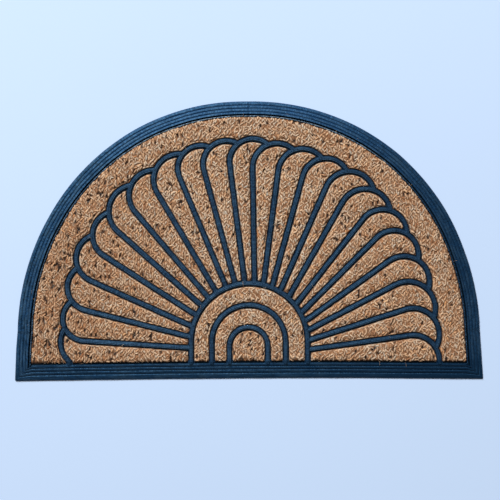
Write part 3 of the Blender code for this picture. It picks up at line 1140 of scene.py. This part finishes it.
def loop_places(field):
    """Middle and lean of each loop, in columns that lean left and right in turn, and the missing ones."""
    columns = int(2 * COIR_RADIUS / COLUMN_PITCH) + 2
    rows = int(MAT_DEPTH / ROW_PITCH) + 2
    column, row = (grid.ravel() for grid in np.meshgrid(np.arange(columns), np.arange(rows)))
    count = len(column)
    places = np.column_stack((
        -COIR_RADIUS + column * COLUMN_PITCH + rng.normal(0, COLUMN_SPREAD, count),
        COIR_FRONT + (row + 0.5 * (column % 2)) * ROW_PITCH + rng.normal(0, ROW_SPREAD, count),
    ))
    places += DRIFT * np.column_stack([waves(places, DRIFT_WAVES, seed) for seed in (11, 12)])
    lean = LOOP_LEAN * np.where(column % 2, 1, -1) + rng.normal(0, LEAN_SPREAD, count)
    lean += LEAN_DRIFT * waves(places, LEAN_WAVES, seed=13)
    distance, away = field.distance(places), field.away(places)
    clearance = field.clearance(places)
    along_rib = np.arctan2(away[:, 1], away[:, 0])
    turn = (along_rib - lean + math.pi / 2) % math.pi - math.pi / 2
    start = clearance + ALONG_RIB_START
    lean += turn * (1 - ramp(distance, start, start + ALONG_RIB_WIDTH))
    inside = (room_to_edge(places)[0] > 0) & (distance > clearance - LOOP_OVERLAP)
    missing = rng.random(count) < MISSING_SHARE * (1 + MISSING_BY_DARKENING * np.clip(darkening(places), 0, 1))
    return places[inside & ~missing], lean[inside & ~missing], places[inside & missing]


def make_loops(field, places, lean):
    """The coir's surface: yarn loops that rise from the ground, lean over and dip under their neighbours."""
    count = len(places)
    arch = arch_of(LOOP_RINGS)
    length = LOOP_LENGTH * rng.uniform(*LOOP_LENGTHS, count)
    lines = strand_lines(places, math.pi / 2 + lean, length, rng.normal(0, LOOP_BOW, count), arch)
    radius = LOOP_RADIUS * rng.uniform(*LOOP_RADII, count)
    own = np.minimum(radius, field.room(places)) * 0.8
    inset = edge_inset(places)
    uneven = rng.uniform(-0.0006, 0.0006, count) * inset / OUTER_INSET * 0.5
    lines, kept = keep_clear(field, lines, own, inset + radius * 0.5 + uneven)
    rise = rng.normal(0, LOOP_UNEVEN, count)
    top = field.height(lines) - radius[:, None] * STRAND_FLATNESS + rise[:, None]
    height = np.maximum(top - LOOP_DIP * (1 - arch ** 0.8), COIR_UNDERSIDE + 0.002)
    shade = rng.normal(LOOP_SHADE, LOOP_SHADE_SPREAD, count) + BAND_SHADE * waves(places, BANDS, seed=21)
    brown = np.where(rng.random(count) < BROWN_SHARE, BROWNER, 0)
    shade += PATCH_SHADE * waves(places, PATCHES, seed=22) - brown
    # Painted shade: each loop darker towards its ends, where it dips under its neighbours
    end_shade = LOOP_END_SHADE + (1 - LOOP_END_SHADE) * arch[:, None]
    red = COIR_RED + rng.normal(0, LOOP_RED_SPREAD, count)
    colours = coir_colours(shade - darkening(places), red, end_shade)
    radii = radius[:, None] * (0.62 + 0.38 * arch)
    roll = rng.uniform(-0.3, 0.3, count)
    lines = raised(lines, height)
    return tube_meshes("coir_loops", LOOP_PIECES, places, kept, lines, radii, LOOP_SIDES, colours, roll)


def make_strands(field, places, lean):
    """Thin strands on the loops, lighter and darker than the yarn, and near-black ones that paint the shade
    of gaps in it.
    """
    count = int(len(places) * STRANDS_PER_LOOP)
    arch = arch_of(STRAND_RINGS)
    owner = rng.integers(0, len(places), count)
    middle = places[owner] + rng.normal(0, STRAND_SPREAD, (count, 2))
    angle = math.pi / 2 + lean[owner] + rng.normal(0, STRAND_TURN, count)
    length = LOOP_LENGTH * rng.uniform(*STRAND_LENGTHS, count)
    lines = strand_lines(middle, angle, length, rng.normal(0, LOOP_BOW, count), arch)
    # Painted shade: some strands are near black and wider, standing for the shade in gaps between the loops
    gap = rng.random(count) < SHADOW_STRANDS
    radius = STRAND_RADIUS * rng.uniform(*STRAND_RADII, count) * np.where(gap, SHADOW_STRAND_WIDTH, 1.0)
    inset = edge_inset(middle) + rng.uniform(*STRAND_INSETS, count)
    lines, kept = keep_clear(field, lines, radius, inset)
    top = field.height(lines) + (rng.normal(0, STRAND_UNEVEN, count) - radius * 0.45)[:, None]
    lines = raised(lines, top - STRAND_DIP * (1 - arch))
    shade = np.where(rng.random(count) < DARK_STRANDS, *STRAND_SHADES)
    shade = shade + rng.normal(0, STRAND_SHADE_SPREAD, count)
    shade += STRAND_PATCH_SHADE * waves(middle, PATCHES, seed=22) - darkening(middle)
    # Painted shade: each strand darker towards its ends
    end_shade = (0.78 + 0.22 * arch)[:, None]
    red = COIR_RED + rng.normal(0, STRAND_RED_SPREAD, count)
    colours = coir_colours(np.where(gap, SHADOW_STRAND_SHADE, shade), red, end_shade)
    radii = radius[:, None] * (0.5 + 0.5 * arch)
    roll = rng.uniform(0, 2, count)
    return tube_meshes(
        "coir_strands", STRAND_PIECES, middle, kept, lines, radii, STRAND_SIDES, colours, roll
    )


def edge_places(field, paths):
    """Places a step apart beside the fan's lines, on both sides, and the lines' direction there."""
    places, headings = [], []
    for path in paths:
        run = np.gradient(path, axis=0)
        along = distances_along(path)
        for side in (-1, 1):
            stops = np.arange(rng.uniform(0, EDGE_STEP), along[-1], EDGE_STEP)
            middle = np.column_stack([np.interp(stops, along, path[:, axis]) for axis in (0, 1)])
            heading = unit(np.column_stack([np.interp(stops, along, run[:, axis]) for axis in (0, 1)]))
            across = np.column_stack((-heading[:, 1], heading[:, 0])) * side
            places.append(middle + across * (RIB_CLEARANCE + EDGE_INSET))
            headings.append(np.arctan2(heading[:, 1], heading[:, 0]))
    places, headings = np.concatenate(places), np.concatenate(headings)
    good = np.abs(field.distance(places) - RIB_CLEARANCE - EDGE_INSET) < EDGE_OFF_LINE
    good &= (room_to_edge(places)[0] > EDGE_MARGIN) & (field.room(places) > EDGE_ROOM)
    return places[good], headings[good]


def make_edges(field, paths):
    """Strands pressed flat along both sides of the fan's lines, where the coir rolls down to the rubber,
    darker as painted shade.
    """
    middle, heading = edge_places(field, paths)
    count = len(middle)
    arch = arch_of(LOOP_RINGS)
    length = EDGE_LENGTH * rng.uniform(*EDGE_LENGTHS, count)
    angle = heading + rng.normal(0, EDGE_TURN, count)
    lines = strand_lines(middle, angle, length, np.zeros(count), arch)
    wobble = rng.uniform(*EDGE_WOBBLE, count)
    lines, kept = keep_clear(field, lines, EDGE_INSET * 0.8 + wobble, wobble + EDGE_INSET)
    radius = EDGE_RADIUS * rng.uniform(*EDGE_RADII, count)
    height = field.height(lines) - EDGE_SINK + rng.normal(0, EDGE_UNEVEN, count)[:, None]
    # Painted shade: these strands take a darker tone than the loops
    shade = rng.normal(EDGE_SHADE, EDGE_SHADE_SPREAD, count)
    colours = coir_colours(shade, rng.normal(0, 1, count), np.ones((LOOP_RINGS, 1)))
    radii = radius[:, None] * (0.45 + 0.55 * arch)
    roll = rng.uniform(-0.5, 0.5, count)
    lines = raised(lines, height)
    return tube_mesh("coir_edges", lines[kept], radii[kept], STRAND_SIDES, colours[kept], roll[kept])


def pile_fibres(field, curve):
    """Single fibres that stand off the pile."""
    middle = np.column_stack((
        rng.uniform(-COIR_RADIUS, COIR_RADIUS, FIBRE_COUNT * 2),
        rng.uniform(COIR_FRONT, MAT_DEPTH, FIBRE_COUNT * 2),
    ))
    good = (room_to_edge(middle)[0] > 0.001) & (field.distance(middle) > RIB_CLEARANCE)
    middle = middle[good][:FIBRE_COUNT]
    count = len(middle)
    angle = math.pi / 2 + rng.normal(0, FIBRE_TURN, count)
    length = rng.uniform(*FIBRE_LENGTHS, count)
    lines = strand_lines(middle, angle, length, rng.normal(0, FIBRE_BOW, count), curve)
    margin = rng.uniform(*FIBRE_MARGINS, count)
    lines, kept = keep_clear(field, lines, margin, margin)
    lift = rng.uniform(*FIBRE_LIFTS, count)[:, None] * arch_of(FIBRE_RINGS)
    return raised(lines, field.height(lines) + lift - FIBRE_SINK)[kept]


def stray_fibres(field, curve):
    """A few fibres that lie astray on the border and the ribs."""
    places = np.column_stack((
        rng.uniform(-MAT_RADIUS, MAT_RADIUS, STRAY_COUNT * 4),
        rng.uniform(STRAY_START, MAT_DEPTH, STRAY_COUNT * 4),
    ))
    room = room_to_edge(places)[0]
    on_border = np.abs(room + 0.002) < STRAY_REACH
    on_rib = (field.distance(places) < RIB_WIDTH / 2) & (room > 0.004)
    places = np.concatenate((places[on_border][:STRAY_COUNT], places[on_rib][:STRAY_COUNT // 6]))
    count = len(places)
    angle = rng.uniform(0, 2 * math.pi, count)
    length = rng.uniform(*STRAY_LENGTHS, count)
    lines = strand_lines(places, angle, length, rng.normal(0, STRAY_BOW, count), curve)
    room = room_to_edge(lines)[0]
    level = np.where(room < LIP_START - LIP_END, ridge_heights(STRAY_RIDGE) + 0.0006, LIP_TOP + 0.0004)
    level = np.where(room > 0.001, np.maximum(RIB_TOP, field.height(lines)) + 0.0002, level)
    return raised(lines, np.repeat(level.max(axis=1, keepdims=True), FIBRE_RINGS, axis=1))


def make_fibres(field):
    """Single coir fibres: many on the pile, and a few strays on the rubber."""
    share = np.linspace(0, 1, FIBRE_RINGS)
    curve = 4 * share * (1 - share)
    lines = pile_fibres(field, curve)
    shade = rng.uniform(*FIBRE_SHADES, len(lines))
    strays = stray_fibres(field, curve)
    lines = np.concatenate((lines, strays))
    count = len(lines)
    shade = np.concatenate((shade, rng.uniform(*STRAY_SHADES, len(strays))))
    radius = FIBRE_RADIUS * rng.uniform(*FIBRE_RADII, count)
    radii = radius[:, None] * (0.5 + 0.5 * arch_of(FIBRE_RINGS))
    colours = coir_colours(shade, rng.normal(0, FIBRE_RED_SPREAD, count), np.ones((FIBRE_RINGS, 1)))
    return tube_mesh("coir_fibres", lines, radii, STRAND_SIDES, colours, rng.uniform(0, 2, count))


# Materials

class Look:
    """One material, with a short way to add each kind of node. Values are numbers, colours or outputs."""

    def __init__(self, name):
        self.material = bpy.data.materials.new(name)
        self.material.use_nodes = True
        self.tree = self.material.node_tree
        self.place = self.node("ShaderNodeTexCoord").outputs["Object"]

    def feed(self, node, inputs):
        """Sets each input that has a number or a colour, and links each that has an output."""
        for key, value in inputs.items():
            socket = node.inputs[key]
            if isinstance(value, bpy.types.NodeSocket):
                self.tree.links.new(value, socket)
            else:
                socket.default_value = (*value, 1.0) if socket.type == "RGBA" else value

    def node(self, kind, inputs=None, **settings):
        node = self.tree.nodes.new(kind)
        for key, value in settings.items():
            setattr(node, key, value)
        self.feed(node, inputs or {})
        return node

    def attribute(self, name, output="Fac"):
        return self.node("ShaderNodeAttribute", attribute_name=name).outputs[output]

    def noise(self, vector, scale, detail=2.0, roughness=0.6):
        """Smooth noise. A scale of three numbers stretches it."""
        if isinstance(scale, tuple):
            vector = self.node("ShaderNodeMapping", {"Vector": vector, "Scale": scale}).outputs["Vector"]
            scale = 1.0
        inputs = {"Vector": vector, "Scale": scale, "Detail": detail, "Roughness": roughness}
        return self.node("ShaderNodeTexNoise", inputs).outputs["Fac"]

    def remap(self, value, low, high, new_low, new_high):
        inputs = {"Value": value, "From Min": low, "From Max": high, "To Min": new_low, "To Max": new_high}
        return self.node("ShaderNodeMapRange", inputs).outputs["Result"]

    def math(self, operation, first, second):
        inputs = {0: first, 1: second}
        return self.node("ShaderNodeMath", inputs, operation=operation, use_clamp=True).outputs["Value"]

    def mix(self, share, first, second, blend="MIX"):
        inputs = {0: share, 6: first, 7: second}
        return self.node("ShaderNodeMix", inputs, data_type="RGBA", blend_type=blend).outputs[2]

    def cover(self, colour, mask, low, high, most, other):
        """The colour, with another over it: none where the mask is low, and the most where it is high."""
        return self.mix(self.remap(mask, low, high, 0.0, most), colour, other)

    def bump(self, height, strength, distance, **normal):
        inputs = {"Height": height, "Strength": strength, "Distance": distance, **normal}
        return self.node("ShaderNodeBump", inputs).outputs["Normal"]

    def finish(self, inputs):
        """Feeds the shader itself, and hands over the material."""
        self.feed(self.tree.nodes["Principled BSDF"], inputs)
        return self.material


def rubber_material():
    """Moulded rubber: deep blue and satin, with a drawn grain along its ridges, marks from the mould and
    dust on the fan, and with painted shade, painted sky light and painted light on the torn film.
    """
    look = Look("blue_moulded_rubber")
    split = look.node("ShaderNodeSeparateXYZ", {"Vector": look.place})
    x, y = split.outputs["X"], split.outputs["Y"]
    # The fan's mask: its dust, its fine lines and its painted shade go by it
    on_fan = look.attribute("fan_dust_and_shade")
    grain = look.attribute("grain", "Vector")
    drawn = look.noise(grain, (45.0, 310.0, 120.0))
    marks = look.noise(grain, (330.0, 240.0, 120.0))
    fine = look.noise(grain, (190.0, 560.0, 120.0))
    cloudy = look.noise(look.place, 22.0, 4.0)
    colour = look.cover((0.0068, 0.032, 0.082), cloudy, 0.35, 0.65, 1.0, (0.0115, 0.046, 0.112))
    colour = look.cover(colour, on_fan, 0.0, 1.0, 0.16, (0.058, 0.045, 0.030))
    colour = look.cover(colour, marks, 0.44, 0.60, 0.84, (0.003, 0.010, 0.022))
    colour = look.cover(colour, drawn, 0.47, 0.62, 0.55, (0.044, 0.092, 0.150))
    fine_lines = look.math("MULTIPLY", look.remap(fine, 0.48, 0.62, 0.0, 0.66), on_fan)
    colour = look.mix(fine_lines, colour, (0.042, 0.092, 0.155))

    # Painted shade: the border darker towards its right end and along the base, and the fan darker towards
    # the right, standing for the lamp's light falling off there
    right_end = look.remap(x, 0.05, 0.33, 0.0, 0.56)
    front = look.remap(y, -0.200, -0.190, 0.53, 0.0)
    border_shade = look.math("ADD", right_end, front)
    fan_shade = look.remap(x, -0.03, 0.19, 0.15, 0.53)
    shade = look.node("ShaderNodeMix", {0: on_fan, 2: border_shade, 3: fan_shade}).outputs[0]
    colour = look.mix(shade, colour, (0.002, 0.0145, 0.040))
    skylit = look.math("SUBTRACT", look.remap(y, 0.12, 0.21, 0.0, 0.26), on_fan)
    colour = look.mix(skylit, colour, (0.016, 0.070, 0.190))

    # Painted light: the torn film painted paler, most at the top and the left where the lamp's light falls
    torn = look.remap(look.noise(look.place, 420.0), 0.36, 0.56, 0.0, 0.95)
    ragged = look.math("MULTIPLY", torn, look.attribute("frayed_and_lit"))
    colour = look.mix(ragged, colour, (0.250, 0.330, 0.400))
    # Painted shade: near black in the deep places
    colour = look.cover(colour, look.attribute("deep"), 0.2, 0.9, 0.9, (0.001, 0.002, 0.004))
    coarse = look.bump(marks, 0.85, 0.0011)
    drawn_lines = look.bump(drawn, 0.75, 0.0009, Normal=coarse)
    return look.finish({
        "Base Color": colour,
        "Roughness": look.remap(marks, 0.3, 0.7, 0.36, 0.56),
        "Specular IOR Level": 0.50,
        "Specular Tint": (0.27, 0.62, 1.0),
        "Normal": look.bump(look.noise(look.place, 1500.0), 0.25, 0.0002, Normal=drawn_lines),
    })


def strand_material(name, low, high):
    """Coir strands: each has its own colour, with painted shade at the ends of loops and strands, and
    streaks and ridges along its fibres.
    """
    look = Look(name)
    streak = look.noise(look.attribute("strand_place", "Vector"), (9.0, 260.0, 3.0), 3.0)
    shade = look.remap(streak, 0.3, 0.7, low, high)
    channels = dict.fromkeys(("Red", "Green", "Blue"), shade)
    grey = look.node("ShaderNodeCombineColor", channels).outputs["Color"]
    colour = look.mix(1.0, look.attribute("strand_colour", "Color"), grey, "MULTIPLY")
    crumbs = look.remap(look.noise(look.place, 215.0), 0.34, 0.54, 0.56, 0.0)
    colour = look.mix(crumbs, colour, (0.190, 0.078, 0.036))
    colour = look.cover(colour, look.noise(look.place, 420.0), 0.55, 0.75, 0.35, (0.46, 0.34, 0.22))
    return look.finish({
        "Base Color": colour,
        "Roughness": 0.85,
        "Specular IOR Level": 0.12,
        "Normal": look.bump(streak, 0.5, 0.0003),
    })


def sheet_material():
    """The coir's ground between the loops: matted fibre painted darker brown than the loops as shade between
    them, and near black as painted shade in its pits, its furrows beside the fan and along the straight
    edge.
    """
    look = Look("coir_ground")
    matted = look.noise(look.place, (900.0, 260.0, 260.0), 4.0, 0.7)
    colour = look.cover((0.280, 0.118, 0.050), matted, 0.38, 0.68, 1.0, (0.480, 0.262, 0.145))
    colour = look.cover(colour, look.noise(look.place, 120.0), 0.42, 0.66, 0.4, (0.090, 0.040, 0.020))
    # Painted shade: near black in the pits, the furrows beside the fan and along the straight edge
    colour = look.cover(colour, look.attribute("pit"), 0.1, 0.8, 0.95, (0.010, 0.011, 0.014))
    return look.finish({
        "Base Color": colour,
        "Roughness": 0.95,
        "Specular IOR Level": 0.2,
        "Normal": look.bump(matted, 1.0, 0.0012),
    })


def floor_material():
    look = Look("pale_floor")
    lighter = tuple(min(1.0, value * FLOOR_LIGHTER) for value in FLOOR_COLOUR)
    colour = look.cover(FLOOR_COLOUR, look.noise(look.place, 1.4), 0.3, 0.7, 0.35, lighter)
    return look.finish({"Base Color": colour, "Roughness": 0.9, "Specular IOR Level": 0.1})


# Stage

def make_floor():
    bpy.ops.mesh.primitive_plane_add(size=FLOOR_SIZE, location=(0, 0, FLOOR_HEIGHT))
    floor = bpy.context.object
    floor.name = "floor"
    floor.data.materials.append(floor_material())


def make_light():
    """Soft studio light: a large round lamp behind the mat's round edge, and a pale sky all round."""
    lamp = bpy.data.lights.new("key", "AREA")
    lamp.shape = "DISK"
    lamp.size = KEY_SIZE
    lamp.energy = KEY_POWER
    lamp.color = KEY_COLOUR
    item = add_object("key", lamp)
    item.location = KEY_PLACE
    item.rotation_euler = (-Vector(KEY_PLACE)).to_track_quat("-Z", "Y").to_euler()
    world = bpy.data.worlds.new("studio")
    world.use_nodes = True
    background = world.node_tree.nodes["Background"]
    background.inputs["Color"].default_value = (*SKY_COLOUR, 1.0)
    background.inputs["Strength"].default_value = SKY_STRENGTH
    bpy.context.scene.world = world


def make_camera():
    camera = bpy.data.cameras.new("camera")
    camera.lens = CAMERA_LENS
    camera.sensor_width = CAMERA_SENSOR
    camera.clip_start = CAMERA_CLIP
    item = add_object("camera", camera)
    turn = Matrix.Rotation(CAMERA_TILT, 4, "X") @ Matrix.Rotation(CAMERA_ROLL, 4, "Z")
    item.matrix_world = Matrix.Translation(CAMERA_PLACE) @ turn
    bpy.context.scene.camera = item


# Pieces

def settle(piece):
    """Moves a piece's edges to where the mat's edges lie, and leaves the fan where it is."""
    rim, sides, base = (np.array(table) for table in (LIE_OF_RIM, LIE_OF_SIDES, LIE_OF_BASE))
    places = vertex_places(piece)
    x, y = (places - TO_WORLD)[:, :2].T
    reach, direction, above = outwards(np.column_stack((x, y)))
    on_rim = np.interp(np.degrees(np.arctan2(y - SIDE_LENGTH, x)), rim[:, 0], rim[:, 1])
    on_left, on_right = (np.interp(y, sides[:, 0], sides[:, column]) for column in (1, 2))
    move = np.where(above, on_rim, np.where(x < 0, on_left, on_right))
    places[:, :2] += (move * (1 - ramp(MAT_RADIUS - reach, *LIE_REACH)))[:, None] * direction
    places[:, 1] += np.interp(places[:, 0], base[:, 0], base[:, 1]) * (1 - ramp(y, *LIE_REACH))
    piece.data.vertices.foreach_set("co", places.astype(np.float32).ravel())
    piece.data.update()


def dress(piece, material):
    settle(piece)
    piece.data.materials.clear()
    piece.data.materials.append(material)
    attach(piece, "root")


paths = [arch_path(*arch) for arch in ARCHES] + [rib_path(index) for index in range(len(RIBS))]
field = Field(paths)

rubber = make_rubber(paths)
dress(rubber, rubber_material())
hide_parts("rubber_moulding")

places, lean, pits = loop_places(field)
sheet = make_coir_sheet(field, pits)
dress(sheet, sheet_material())
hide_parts("coir_cloth")

pile = make_loops(field, places, lean) + make_strands(field, places, lean) + [make_edges(field, paths)]
pile_material = strand_material("coir_strand", 0.90, 1.08)
for piece in pile:
    dress(piece, pile_material)
fibres = make_fibres(field)
dress(fibres, strand_material("coir_fibre", 0.85, 1.15))

make_floor()
make_light()
make_camera()
bpy.context.scene.view_settings.view_transform = "Standard"
